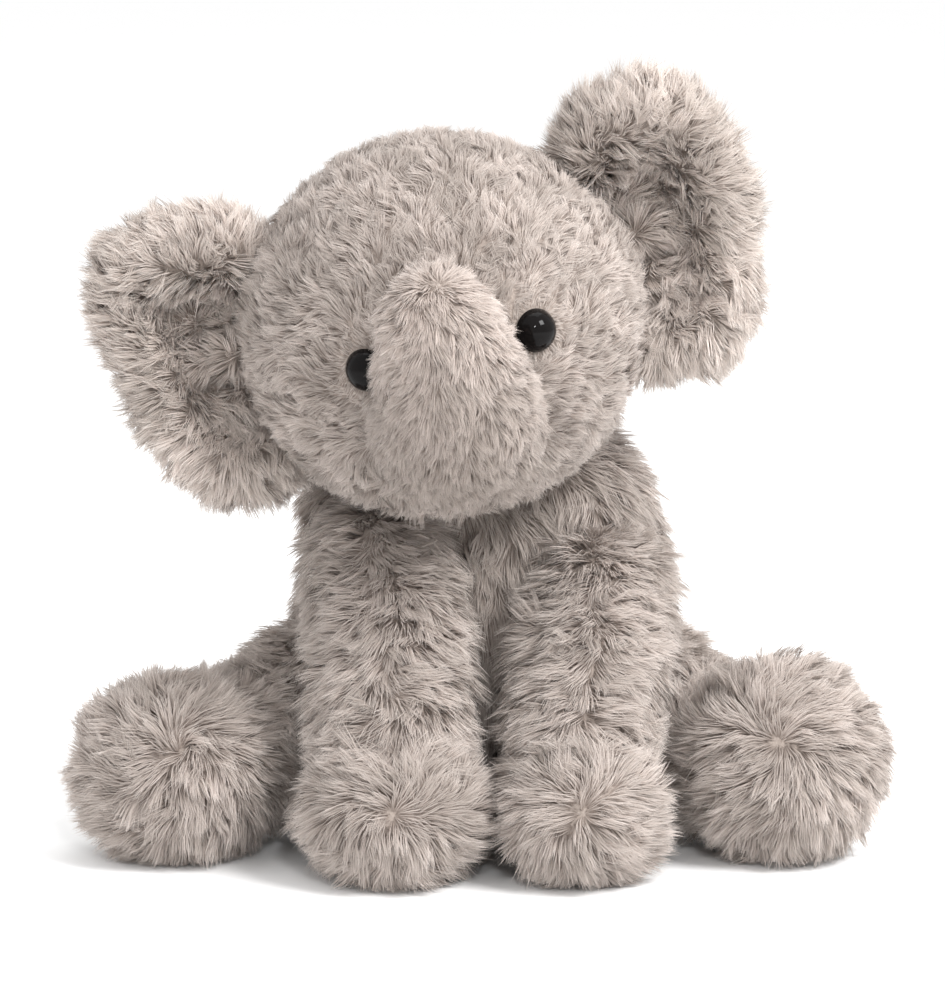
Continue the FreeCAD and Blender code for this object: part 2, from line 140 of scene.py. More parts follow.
def ramp(nodes, stops):
    node = nodes.new("ShaderNodeValToRGB")
    elements = node.color_ramp.elements
    while len(elements) < len(stops):
        elements.new(0.5)
    for element, (position, colour) in zip(elements, stops):
        element.position = position
        element.color = (*colour, 1.0)
    return node


def multiply(nodes, links, first, second):
    mix = nodes.new("ShaderNodeMix")
    mix.data_type = "RGBA"
    mix.blend_type = "MULTIPLY"
    mix.inputs[0].default_value = 1.0
    links.new(first, mix.inputs[6])
    links.new(second, mix.inputs[7])
    return mix


def fur_material(name, root, middle, tip, spread):
    """Strand colour from root to tip, times a tone picked per strand by its palette column."""
    material, nodes, links, shader = new_material(name)
    uv = nodes.new("ShaderNodeUVMap")
    uv.uv_map = "OFBake"
    split = nodes.new("ShaderNodeSeparateXYZ")
    links.new(uv.outputs["UV"], split.inputs[0])
    along = ramp(nodes, [(0.0, root), (0.45, middle), (1.0, tip)])
    links.new(split.outputs["Y"], along.inputs["Fac"])
    low, high = 1.0 - spread, 1.0 + spread
    tone = ramp(nodes, [(0.0, (low * 0.99, low * 0.97, low * 0.95)), (1.0, (high, high, high * 1.005))])
    links.new(split.outputs["X"], tone.inputs["Fac"])
    mix = multiply(nodes, links, along.outputs["Color"], tone.outputs["Color"])
    # each blade carries a few hairs: fine stripes along it
    turns = nodes.new("ShaderNodeMath")
    turns.operation = "MULTIPLY"
    turns.inputs[1].default_value = TONES * 2.0 * math.pi * HAIRS
    links.new(split.outputs["X"], turns.inputs[0])
    wave = nodes.new("ShaderNodeMath")
    wave.operation = "COSINE"
    links.new(turns.outputs[0], wave.inputs[0])
    stripe = nodes.new("ShaderNodeMapRange")
    stripe.inputs["From Min"].default_value = -1.0
    stripe.inputs["To Min"].default_value = 1.10
    stripe.inputs["To Max"].default_value = 0.80
    links.new(wave.outputs[0], stripe.inputs["Value"])
    mix = multiply(nodes, links, mix.outputs[2], stripe.outputs["Result"])
    links.new(mix.outputs[2], shader.inputs["Base Color"])
    shader.inputs["Roughness"].default_value = 0.62
    shader.inputs["Specular IOR Level"].default_value = 0.25
    shader.inputs["Sheen Weight"].default_value = 0.25
    shader.inputs["Sheen Roughness"].default_value = 0.5
    through = nodes.new("ShaderNodeBsdfTranslucent")
    links.new(mix.outputs[2], through.inputs["Color"])
    both = nodes.new("ShaderNodeMixShader")
    both.inputs[0].default_value = 0.38
    links.new(shader.outputs[0], both.inputs[1])
    links.new(through.outputs[0], both.inputs[2])
    links.new(both.outputs[0], nodes["Material Output"].inputs["Surface"])
    return material


def cloth_material(name, colour, weave=1400.0, rough=0.9):
    """Knitted backing cloth or loose fibre: a fine weave in colour and bump."""
    material, nodes, links, shader = new_material(name)
    place = nodes.new("ShaderNodeTexCoord")
    noise = nodes.new("ShaderNodeTexNoise")
    noise.inputs["Scale"].default_value = weave
    noise.inputs["Detail"].default_value = 3.0
    links.new(place.outputs["Object"], noise.inputs["Vector"])
    dark = tuple(c * 0.72 for c in colour)
    shade = ramp(nodes, [(0.3, dark), (0.7, colour)])
    links.new(noise.outputs["Fac"], shade.inputs["Fac"])
    links.new(shade.outputs["Color"], shader.inputs["Base Color"])
    bump = nodes.new("ShaderNodeBump")
    bump.inputs["Strength"].default_value = 0.5
    bump.inputs["Distance"].default_value = 0.0004
    links.new(noise.outputs["Fac"], bump.inputs["Height"])
    links.new(bump.outputs["Normal"], shader.inputs["Normal"])
    shader.inputs["Roughness"].default_value = rough
    shader.inputs["Sheen Weight"].default_value = 0.3
    return material


def plastic_material(name, colour, rough, speck):
    """Moulded plastic with faint mottling."""
    material, nodes, links, shader = new_material(name)
    place = nodes.new("ShaderNodeTexCoord")
    noise = nodes.new("ShaderNodeTexNoise")
    noise.inputs["Scale"].default_value = 260.0
    links.new(place.outputs["Object"], noise.inputs["Vector"])
    shade = ramp(nodes, [(0.35, tuple(c * speck for c in colour)), (0.65, colour)])
    links.new(noise.outputs["Fac"], shade.inputs["Fac"])
    links.new(shade.outputs["Color"], shader.inputs["Base Color"])
    shader.inputs["Roughness"].default_value = rough
    return material


BODY_FUR = fur_material("body_fur", (0.27, 0.215, 0.185), (0.52, 0.455, 0.415), (0.72, 0.66, 0.62), 0.22)
HEAD_FUR = fur_material("head_fur", (0.28, 0.225, 0.195), (0.52, 0.455, 0.415), (0.71, 0.65, 0.61), 0.23)
TRUNK_FUR = fur_material("trunk_fur", (0.27, 0.22, 0.19), (0.48, 0.415, 0.375), (0.64, 0.575, 0.535), 0.22)
EAR_FUR = fur_material("ear_fur", (0.36, 0.30, 0.26), (0.63, 0.56, 0.515), (0.82, 0.76, 0.715), 0.22)
SKIN_CLOTH = cloth_material("pile_backing", (0.33, 0.275, 0.24))
STUFFING = cloth_material("stuffing_fibre", (0.86, 0.86, 0.84), 500.0)
POUCH_CLOTH = cloth_material("pouch_cloth", (0.74, 0.72, 0.66), 2200.0)
THREAD = cloth_material("sewing_thread", (0.27, 0.23, 0.20), 3000.0)
RIBBON = cloth_material("label_ribbon", (0.86, 0.86, 0.84), 2600.0, 0.5)
EYE_PLASTIC = plastic_material("eye_plastic", (0.006, 0.005, 0.005), 0.05, 0.8)
EYE_PLASTIC.node_tree.nodes["Principled BSDF"].inputs["Specular IOR Level"].default_value = 0.10
WASHER_PLASTIC = plastic_material("washer_plastic", (0.78, 0.78, 0.76), 0.6, 0.9)


# ------------------------------------------------------------------------------------- soft skins


def ball(centre, radius, squash=(1.0, 1.0, 1.0), axes=None):
    """One ellipsoid of a skin; axes are its own three directions, the world's if left out."""
    axes = np.eye(3) if axes is None else np.array(axes)
    return (np.array(centre, float), radius * np.array(squash, float), axes)


def bone(start, start_radius, end, end_radius, count=7):
    """Balls in a row, from one size to another."""
    start = np.array(start, float)
    end = np.array(end, float)
    row = []
    for share in np.linspace(0.0, 1.0, count):
        row.append(ball(start + (end - start) * share, start_radius + (end_radius - start_radius) * share))
    return row


def tube(points, radii, count=7):
    """Rows of balls through several points."""
    row = []
    for index in range(len(points) - 1):
        row += bone(points[index], radii[index], points[index + 1], radii[index + 1], count)
    return row


def unit_sphere(rings=14, around=22):
    verts = [(0.0, 0.0, 1.0)]
    for ring in range(1, rings):
        polar = math.pi * ring / rings
        for step in range(around):
            turn = 2 * math.pi * step / around
            out = math.sin(polar)
            verts.append((out * math.cos(turn), out * math.sin(turn), math.cos(polar)))
    verts.append((0.0, 0.0, -1.0))
    faces = [(0, 1 + step, 1 + (step + 1) % around) for step in range(around)]
    for ring in range(rings - 2):
        base = 1 + ring * around
        for step in range(around):
            after = (step + 1) % around
            faces.append((base + step, base + around + step, base + around + after, base + after))
    last = len(verts) - 1
    base = 1 + (rings - 2) * around
    faces += [(base + step, last, base + (step + 1) % around) for step in range(around)]
    return np.array(verts), faces


SPHERE_VERTS, SPHERE_FACES = unit_sphere()


def mesh_object(name, verts_mm, faces, material):
    mesh = bpy.data.meshes.new(name)
    mesh.from_pydata([tuple(v) for v in np.asarray(verts_mm) * MM], [], faces)
    mesh.validate()
    obj = bpy.data.objects.new(name, mesh)
    bpy.context.scene.collection.objects.link(obj)
    obj.data.materials.append(material)
    return obj


def apply_modifiers(obj):
    bpy.context.view_layer.update()
    graph = bpy.context.evaluated_depsgraph_get()
    made = bpy.data.meshes.new_from_object(obj.evaluated_get(graph))
    old = obj.data
    obj.modifiers.clear()
    obj.data = made
    bpy.data.meshes.remove(old)
    obj.data.name = obj.name
    obj.data.polygons.foreach_set("use_smooth", [True] * len(obj.data.polygons))


def skin(name, balls, material=SKIN_CLOTH, voxel=VOXEL, turns=SMOOTH_TURNS):
    """One closed padded skin over the balls: fused, evened out and flat where it rests on the floor."""
    verts, faces = [], []
    for centre, radii, axes in balls:
        offset = len(verts) * len(SPHERE_VERTS)
        verts.append(centre + (SPHERE_VERTS * radii) @ axes)
        faces += [tuple(i + offset for i in face) for face in SPHERE_FACES]
    obj = mesh_object(name, np.concatenate(verts), faces, material)
    remesh = obj.modifiers.new("fuse", "REMESH")
    remesh.mode = "VOXEL"
    remesh.voxel_size = voxel * MM
    even = obj.modifiers.new("even", "SMOOTH")
    even.factor = 0.5
    even.iterations = turns
    apply_modifiers(obj)
    co = coordinates(obj.data)
    co[:, 2] = np.maximum(co[:, 2], FLOOR_GAP * MM)
    obj.data.vertices.foreach_set("co", co.ravel())
    obj.data.update()
    return obj


def coordinates(mesh):
    co = np.zeros(len(mesh.vertices) * 3, np.float32)
    mesh.vertices.foreach_get("co", co)
    return co.reshape(-1, 3).astype(float)


def inside(points, balls, grow=0.0):
    """True for the points inside any of the balls, each grown by that much."""
    hit = np.zeros(len(points), bool)
    for centre, radii, axes in balls:
        local = ((points - centre) @ axes.T) / (radii + grow)
        hit |= np.sum(local * local, axis=1) < 1.0
    return hit


# -------------------------------------------------------------------------------------------- fur


def scatter(obj, per_mm2, rng):
    """Roots spread evenly over a skin: positions and normals, in millimetres."""
    mesh = obj.data
    mesh.calc_loop_triangles()
    tris = np.zeros(len(mesh.loop_triangles) * 3, np.int32)
    mesh.loop_triangles.foreach_get("vertices", tris)
    tris = tris.reshape(-1, 3)
    co = coordinates(mesh) / MM
    vertex_normals = np.zeros(len(mesh.vertices) * 3, np.float32)
    mesh.vertices.foreach_get("normal", vertex_normals)
    vertex_normals = vertex_normals.reshape(-1, 3).astype(float)
    a, b, c = co[tris[:, 0]], co[tris[:, 1]], co[tris[:, 2]]
    area = 0.5 * np.linalg.norm(np.cross(b - a, c - a), axis=1)
    count = int(area.sum() * per_mm2)
    picked = np.searchsorted(np.cumsum(area) / area.sum(), rng.random(count))
    picked = np.minimum(picked, len(tris) - 1)
    u = rng.random(count)
    v = rng.random(count)
    over = u + v > 1.0
    u[over], v[over] = 1.0 - u[over], 1.0 - v[over]
    w = 1.0 - u - v
    weights = np.stack([w, u, v], axis=1)
    corners = tris[picked]
    points = np.einsum("ij,ijk->ik", weights, co[corners])
    normals = unit(np.einsum("ij,ijk->ik", weights, vertex_normals[corners]))
    return points, normals


def nearest(seeds, points):
    """The index of the nearest seed for every point."""
    tree = kdtree.KDTree(len(seeds))
    for index, seed in enumerate(seeds):
        tree.insert(seed, index)
    tree.balance()
    return np.array([tree.find(point)[1] for point in points])


def strand_lines(points, normals, group, seeds, comb, length, look, seed, rng):
    """Each strand's leaving direction, middle and tip: combed, gathered in clumps and kept off the floor."""
    count = len(points)
    # large tufts turn the comb one way or the other, small clumps and strands add to it
    flow = unit(flatten_to(comb(points, normals) + rng.normal(size=(count, 3)) * 0.08, normals))
    across = np.cross(normals, flow)
    bend = 0.60 * waves(points, 20.0, seed + 1) + 0.38 * waves(points, 8.0, seed + 2)
    clump_turn = rng.normal(size=len(seeds))[group] * 0.30
    turn = (bend + clump_turn) * look["sway"] * 1.6 + rng.normal(size=count) * 0.10
    flow = flow * np.cos(turn)[:, None] + across * np.sin(turn)[:, None]
    clump_lay = rng.normal(size=len(seeds))[group] * 0.17
    angle = look["lay"] + 0.24 * waves(points, 13.0, seed + 3) + clump_lay + rng.normal(size=count) * 0.06
    angle = np.clip(angle, LEAST_LAY, MOST_LAY)
    start = unit(normals * np.cos(angle)[:, None] + flow * np.sin(angle)[:, None])
    reach = np.full(count, float(length))
    if look["length_at"] is not None:
        reach = reach * look["length_at"](points)
    reach *= rng.uniform(0.62, 1.12, count) * (1.0 + 0.14 * rng.normal(size=len(seeds))[group])
    reach = np.clip(reach, length * SHORTEST, length * LONGEST)
    # the outer half droops and lies along the comb, and its clump's first strand draws it in
    middle = points + start * (reach * 0.5)[:, None]
    end = unit(start + flow * 0.30 + np.array([0.0, 0.0, -0.16]))
    tip = middle + end * (reach * 0.5)[:, None]
    lead = points[seeds][group]
    offset = points - lead
    pull = look["pull"]
    middle = middle + (middle[seeds][group] + offset * 0.55 - middle) * (pull * 0.40)
    tip = tip + (tip[seeds][group] + offset * 0.12 - tip) * pull
    lowest = rng.uniform(0.35, 1.2, count)
    middle[:, 2] = np.maximum(middle[:, 2], lowest)
    tip[:, 2] = np.maximum(tip[:, 2], lowest)
    return start, middle, tip


def blade_corners(points, normals, start, middle, tip, width, rng):
    """Five corners for every blade, its faces' corner order, and the direction across it."""
    count = len(points)
    twist = unit(np.cross(start, normals) + rng.normal(size=(count, 3)) * 0.55)
    side = unit(np.cross(start, np.cross(twist, start)))
    half = (0.5 * width * rng.uniform(0.7, 1.3, count))[:, None]
    verts = np.empty((count, 5, 3))
    verts[:, 0] = points - normals * ROOT_DEPTH - side * half
    verts[:, 1] = points - normals * ROOT_DEPTH + side * half
    verts[:, 2] = middle + side * half * 0.8
    verts[:, 3] = middle - side * half * 0.8
    verts[:, 4] = tip
    base = np.arange(count)[:, None] * 5
    facing = np.sum(np.cross(side, start) * normals, axis=1) < 0
    quads = np.where(facing[:, None], [[0, 3, 2, 1]], [[0, 1, 2, 3]]) + base
    caps = np.where(facing[:, None], [[3, 4, 2]], [[3, 2, 4]]) + base
    return verts, np.concatenate([quads, caps], axis=1).ravel(), side


def palette_places(shade):
    """UV corners of every blade: its tone's column, from root to tip."""
    count = len(shade)
    column = np.clip((shade * TONES).astype(int), 0, TONES - 1)
    left = (column + 0.04) / TONES
    right = (column + 0.96) / TONES
    centre = (column + 0.5) / TONES
    corner_uv = np.empty((count, 5, 2))
    corner_uv[:, 0] = np.stack([left, np.full(count, 0.01)], axis=1)
    corner_uv[:, 1] = np.stack([right, np.full(count, 0.01)], axis=1)
    corner_uv[:, 2] = np.stack([right, np.full(count, 0.5)], axis=1)
    corner_uv[:, 3] = np.stack([left, np.full(count, 0.5)], axis=1)
    corner_uv[:, 4] = np.stack([centre, np.full(count, 0.99)], axis=1)
    return corner_uv.reshape(-1, 2)


def grow_fur(name, skin_obj, comb, per_mm2, length, material, seed, keep=None, lay=0.95, width=0.42,
             clump=9, pull=0.62, sway=0.5, tone_size=38.0, tone=None, length_at=None):
    """Strands of pile as slender blades, gathered in small clumps, in one mesh."""
    rng = np.random.default_rng(seed)
    points, normals = scatter(skin_obj, per_mm2, rng)
    if keep is not None:
        chosen = keep(points, normals)
        points, normals = points[chosen], normals[chosen]
    count = len(points)
    seeds = rng.choice(count, max(4, count // clump), replace=False)
    group = nearest(points[seeds], points)
    look = {"lay": lay, "sway": sway, "pull": pull, "length_at": length_at}
    start, middle, tip = strand_lines(points, normals, group, seeds, comb, length, look, seed, rng)
    verts, order, side = blade_corners(points, normals, start, middle, tip, width, rng)
    # palette column: patches of tone, clumps and single strands
    shade = 0.5 + 0.20 * waves(points, tone_size, seed + 4) + 0.13 * rng.normal(size=len(seeds))[group]
    shade += 0.05 * rng.normal(size=count)
    # a member's own shift of tone, which on the chest, head and trunk holds painted shade and painted light
    if tone is not None:
        shade += tone(points, normals)
    mesh = bpy.data.meshes.new(name)
    mesh.vertices.add(count * 5)
    mesh.vertices.foreach_set("co", (verts * MM).astype(np.float32).ravel())
    mesh.loops.add(count * 7)
    mesh.loops.foreach_set("vertex_index", order.astype(np.int32))
    mesh.polygons.add(count * 2)
    starts = (np.arange(count)[:, None] * 7 + np.array([[0, 4]])).ravel()
    mesh.polygons.foreach_set("loop_start", starts.astype(np.int32))
    mesh.polygons.foreach_set("use_smooth", np.ones(count * 2, bool))
    layer = mesh.uv_layers.new(name="OFBake")
    layer.data.foreach_set("uv", palette_places(shade)[order].astype(np.float32).ravel())
    mesh.update(calc_edges=True)
    # shading normals lean between the blade's own and the skin's, as a mass of soft pile is lit
    own = unit(np.cross(side, start))
    own = own * np.sign(np.sum(own * normals, axis=1, keepdims=True) + 1e-9)
    soft = unit(normals * 0.9 + own * 0.75 + rng.normal(size=(count, 3)) * 0.12)
    mesh.normals_split_custom_set_from_vertices(np.repeat(soft, 5, axis=0).tolist())
    mesh.materials.append(material)
    obj = bpy.data.objects.new(name, mesh)
    bpy.context.scene.collection.objects.link(obj)
    return obj


def away_from(centre):
    """Straight away from a point."""
    return lambda points, normals: unit(points - np.array(centre, float))


def swirl_from(centre, curl):
    """Away from a crown, turned by the curl angle: the whorl on a foot."""
    def comb(points, normals):
        out = unit(flatten_to(points - np.array(centre, float), normals))
        return out * math.cos(curl) + np.cross(normals, out) * math.sin(curl)
    return comb


def along(direction):
    """The same direction everywhere."""
    return lambda points, normals: np.tile(np.array(direction, float), (len(points), 1))


def blended(first, second, share):
    """A comb that goes from the first to the second as share(points) goes from 0 to 1."""
    def comb(points, normals):
        part = np.clip(share(points), 0.0, 1.0)[:, None]
        return unit(first(points, normals)) * (1.0 - part) + unit(second(points, normals)) * part
    return comb


def under(points, normals):
    """True for the flat soles and the seat, where the pile is pressed away."""
    return (points[:, 2] < 1.5) & (normals[:, 2] < -0.8)


def finish_piece(obj, body, nodes=()):
    """Fasten a piece to its body, and hide the nodes of the CAD that it stands for."""
    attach(obj, body)
    if nodes:
        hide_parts(*nodes)


# --------------------------------------------------------------------- shapes of each soft member

head_axes = (HEAD_SIDE, -HEAD_FRONT, HEAD_UP)
HEAD_BALLS = [ball(HEAD, 1.0, HEAD_HALF, head_axes)]

trunk_root = joint_spot("trunk_bend")
TRUNK_POINTS = [trunk_root, np.array([-7.4, -81.0, 148.0]), np.array([-9.8, -95.0, 162.0]),
                np.array([-12.2, -102.0, 175.0])]
TRUNK_RADII = [26.0, 22.6, 19.0, 15.0]
TRUNK_BALLS = tube(TRUNK_POINTS, TRUNK_RADII)

TORSO_BALLS = [ball(TORSO, 1.0, (57.0, 45.5, 76.6)),
               ball((25.0, 14.0, 101.0), 27.0), ball((-26.5, 14.0, 101.0), 27.0),
               ball((-6.0, 9.0, 104.0), 26.0)]

FRONT_LEGS = {
    "right": tube([(-30, -14, 87), (-27.5, -34, 66), (-26.8, -49, 42)], [21.5, 21.8, 21.3])
    + [ball((-25.8, -59.5, 21.5), 1.0, (26.2, 27.0, 21.5))],
    "left": tube([(36, -14, 76), (32.8, -34, 61), (30.3, -49, 40)], [21.5, 20.8, 19.4])
    + [ball((30.8, -59.0, 21.5), 1.0, (22.6, 26.5, 21.5))],
}


def hind_balls(side, rise):
    """Hip, thigh and ankle, then the round foot whose centre is that high."""
    points = [(side * 49, 9, 39), (side * 62, -4, 33), (side * 76, -16, 29)]
    foot = ball((side * 94.0, -31.0, rise), 1.0, (28.8, 26.8, rise - FLOOR_GAP))
    return tube(points, [26.5, 23.0, 22.0]) + [foot]


HIND_LEGS = {"right": hind_balls(-1.0, 27.4), "left": hind_balls(1.0, 30.0)}

# the ear's rim, as (outwards, up, forwards, radius) in the head's frame
EAR_RIM = [
    (54, 36, 2, 9.0), (62, 44, 5, 10.0), (75, 46, 7, 10.5), (87, 43, 6, 10.0), (94, 31, 4, 9.0),
    (94, 14, 2, 8.5), (91, -3, 1, 8.5), (85, -17, 1, 8.5), (76, -27, 1, 8.5), (64, -30, 0, 8.0),
    (56, -24, -2, 8.0),
]
# the cupped sheet inside the rim, in the same terms
EAR_LINING = [
    (56, 20, -8, 7.0), (56, 4, -7, 7.5), (57, -12, -6, 7.5), (68, 24, -7, 6.5), (68, 8, -6, 7.0),
    (69, -10, -5, 7.0), (80, 24, -4, 6.5), (80, 8, -4, 6.5), (79, -10, -3, 7.0), (72, 36, -3, 7.0),
    (60, 32, -4, 7.0), (72, -20, -3, 7.0),
]
EAR_CORNER = (3, 4)              # the rim points of the outer top corner
EAR_LOWER = (7, 8)               # and of the lower end
EAR_TRIM = np.array([0.90, 0.93, 1.0])
EAR_TRIM_ABOUT = np.array([58.0, 8.0, 0.0])


def trimmed(place):
    """An ear point drawn in toward the root, which leaves room for the pile."""
    return EAR_TRIM_ABOUT + (np.array(place, float) - EAR_TRIM_ABOUT) * EAR_TRIM


def ear_balls(side, rise, corner, lower):
    """The ear's skin: lifted by rise, with its corner and its lower end moved out."""
    rows = []
    rim = [trimmed(p[:3]) for p in EAR_RIM]
    for index in EAR_CORNER:
        rim[index] = rim[index] + np.array([corner, corner * 0.4, 0.0])
    for index in EAR_LOWER:
        rim[index] = rim[index] + np.array([lower, -lower, 0.0])
    radii = [p[3] for p in EAR_RIM]
    for index in range(len(rim) - 1):
        for share in (0.0, 0.33, 0.67):
            x, z, forward = rim[index] * (1 - share) + rim[index + 1] * share
            radius = radii[index] * (1 - share) + radii[index + 1] * share
            rows.append(ball(on_head(side * x, EAR_BACK - forward, z + rise), radius))
    for *place, radius in EAR_LINING:
        x, z, forward = trimmed(place)
        rows.append(ball(on_head(side * x, EAR_BACK - forward, z + rise), radius))
    return rows


# side, rise, corner, lower: the two ears of the toy are not quite alike
EARS = {"right": (-1.0, -4.0, 3.0, 0.5), "left": (1.0, 5.0, -3.0, 3.0)}


def filling(name, balls, body, node, thick=SKIN_THICK):
    """The stuffing of one member, just inside its skin."""
    inner = [(centre, radii - thick, axes) for centre, radii, axes in balls]
    obj = skin(name, inner, STUFFING, voxel=3.0)
    co = coordinates(obj.data)
    co[:, 2] = np.maximum(co[:, 2], (FLOOR_GAP + SKIN_THICK) * MM)
    obj.data.vertices.foreach_set("co", co.ravel())
    obj.data.update()
    finish_piece(obj, body, [node])


# ---------------------------------------------------------------------------------- build: torso


TORSO_PARTING = 14.0             # the torso's pile is one piece in front of here and one behind


def chest_painted_shade(points, normals):
    """Painted shade: the pile darker where the chest lies deep between the legs, under the chin."""
    middle = np.clip(1.0 - np.abs(points[:, 0] - 2.0) / 34.0, 0.0, 1.0)
    return -0.8 * middle * (points[:, 1] < 8.0) * np.clip((points[:, 2] - 50.0) / 20.0, 0.0, 1.0)


def build_torso():
    """The torso's skin, filling and two pieces of pile."""
    body = skin("torso_skin", TORSO_BALLS)
    finish_piece(body, "torso", ["torso_cover"])
    filling("torso_filling", TORSO_BALLS, "torso", "torso_stuffing")
    hidden = HEAD_BALLS + FRONT_LEGS["right"] + FRONT_LEGS["left"] + HIND_LEGS["right"] + HIND_LEGS["left"]

    def keep(points, normals):
        return ~inside(points, hidden, -3.0) & ~under(points, normals)

    down = blended(along((0, 0, -1)), away_from((2, 10, 120)), lambda p: np.full(len(p), 0.35))
    for number, (name, front) in enumerate((("torso_front_fur", True), ("torso_back_fur", False))):
        def half(points, normals, front=front):
            return ((points[:, 1] < TORSO_PARTING) == front) & keep(points, normals)

        # the chest's pile gets painted shade between the legs
        fur = grow_fur(name, body, down, 2.7, 11.5, BODY_FUR, 101 + number, half, lay=0.95, width=0.38,
                       clump=18, pull=0.32, tone=chest_painted_shade)
        finish_piece(fur, "torso")


# ---------------------------------------------------------------------------------- build: head


EYE_X = {"right": -23.5, "left": 28.0}
EYE_LEVEL = -2.6
EYE_LIFT = 0.4
EYE_RADIUS = 6.4
EYE_DOME = 5.0


def eye_places():
    """Where the eyes sit on the head's skin: centre and outward direction."""
    places = {}
    for side_name, x in EYE_X.items():
        across, up = x / HEAD_HALF[0], EYE_LEVEL / HEAD_HALF[2]
        y = -HEAD_HALF[1] * math.sqrt(1.0 - across ** 2 - up ** 2)
        slope = unit(np.array([x, y, EYE_LEVEL]) / HEAD_HALF ** 2)
        normal = HEAD_SIDE * slope[0] - HEAD_FRONT * slope[1] + HEAD_UP * slope[2]
        places[side_name] = (on_head(x, y, EYE_LEVEL) + normal * EYE_LIFT, normal)
    return places


EYES = eye_places()


def lathe_rings(centre, normal, profile, verts):
    """Add a ring of points for every (radius, height) of the profile; the rings' indices."""
    across = unit(np.cross(np.array([0.0, 0.0, 1.0]), normal))
    upward = np.cross(normal, across)
    rings = []
    for radius, height in profile:
        rings.append([len(verts) + step for step in range(AROUND)])
        for step in range(AROUND):
            turn = 2 * math.pi * step / AROUND
            spoke = across * math.cos(turn) + upward * math.sin(turn)
            verts.append(centre + normal * height + spoke * radius)
    return rings


def band_faces(rings):
    """Quads between each ring and the next."""
    return [(rings[k][s], rings[k + 1][s], rings[k + 1][s - AROUND + 1], rings[k][s - AROUND + 1])
            for k in range(len(rings) - 1) for s in range(AROUND)]


def build_eye(side_name):
    """A lathe-turned dome with a rounded rim and a shank."""
    centre, normal = EYES[side_name]
    arc = (EYE_RADIUS ** 2 + EYE_DOME ** 2) / (2.0 * EYE_DOME)
    profile = []
    rim_angle = math.asin(EYE_RADIUS / arc)
    for share in np.linspace(0.0, 1.0, 18):
        angle = rim_angle * share
        profile.append((arc * math.sin(angle), EYE_DOME - arc + arc * math.cos(angle)))
    profile += [(EYE_RADIUS + 0.15, -0.25), (EYE_RADIUS, -0.6), (EYE_RADIUS - 0.5, -0.8), (2.4, -0.9),
                (2.4, -6.4), (1.9, -6.8)]
    verts, faces = [centre + normal * profile[0][1]], []
    rings = lathe_rings(centre, normal, profile[1:], verts)
    faces += [(0, rings[0][s], rings[0][s - AROUND + 1]) for s in range(AROUND)]
    faces += band_faces(rings)
    verts.append(centre + normal * profile[-1][1])
    faces += [(rings[-1][s], len(verts) - 1, rings[-1][s - AROUND + 1]) for s in range(AROUND)]
    obj = mesh_object("eye_%s_button" % side_name, np.array(verts), faces, EYE_PLASTIC)
    obj.data.polygons.foreach_set("use_smooth", [True] * len(obj.data.polygons))
    finish_piece(obj, "head", ["eye_" + side_name])
    # the locking washer: a flat ring with eased edges, pushed onto the shank behind the fabric
    inner, outer, near, far, ease = 2.6, 7.0, -3.6, -5.2, 0.3
    section = [(inner, near), (outer - ease, near), (outer, near - ease), (outer, far + ease),
               (outer - ease, far), (inner, far)]
    verts = []
    rings = lathe_rings(centre, normal, section, verts)
    faces = band_faces(rings + rings[:1])
    obj = mesh_object("eye_%s_lock" % side_name, np.array(verts), faces, WASHER_PLASTIC)
    finish_piece(obj, "head", ["eye_washer_" + side_name])


def head_keep(points, normals):
    """No pile under the eyes or in the trunk's root."""
    free = ~inside(points, TRUNK_BALLS, -2.5)
    for centre, normal in EYES.values():
        rel = points - centre
        flat = rel - np.outer(rel @ normal, normal)
        free &= np.linalg.norm(flat, axis=1) > EYE_RADIUS - 0.4
    return free


NOSE = trunk_root + HEAD_FRONT * 10.0


def head_comb(points, normals):
    """Away from the trunk over the face, then down the back of the head."""
    face = unit(points - NOSE)
    back = np.tile(-HEAD_UP, (len(points), 1)) * 0.8
    front = np.clip((into_head(points)[:, 1] + 10.0) / 40.0, 0.0, 1.0)[:, None]
    combed = face * (1.0 - front) + back * front
    for centre, normal in EYES.values():
        rel = points - centre
        near = np.clip(1.0 - (np.linalg.norm(rel, axis=1) - EYE_RADIUS) / 6.0, 0.0, 1.0)[:, None]
        combed = combed * (1.0 - near) + unit(rel) * near
    return combed


SEAM_X = 16.0


def head_seam_and_painted_shade(points, normals):
    """Darker pile along the sewn seam over the forehead, and painted shade close round the trunk's root."""
    local = into_head(points)
    bend = 2.5 * np.sin(local[:, 2] / 9.0)
    seam = np.exp(-((local[:, 0] - SEAM_X - bend) / 3.2) ** 2) * (local[:, 1] < 5.0)
    gap = np.full(len(points), 99.0)
    for centre, radii, axes in TRUNK_BALLS:
        gap = np.minimum(gap, np.linalg.norm(points - centre, axis=1) - radii[0])
    # the seam's dark line, then painted shade deepening toward the trunk
    return -0.34 * seam * (local[:, 2] > 8.0) - 0.30 * np.exp(-np.clip(gap, 0.0, 99.0) / 5.0)


def head_length(points):
    """Shorter beside the eyes."""
    scale = np.ones(len(points))
    for centre, normal in EYES.values():
        gap = np.linalg.norm(points - centre, axis=1) - EYE_RADIUS
        scale = np.minimum(scale, np.clip(0.34 + gap / 12.0, 0.0, 1.0))
    return scale


GUSSET_HALF = 13.0


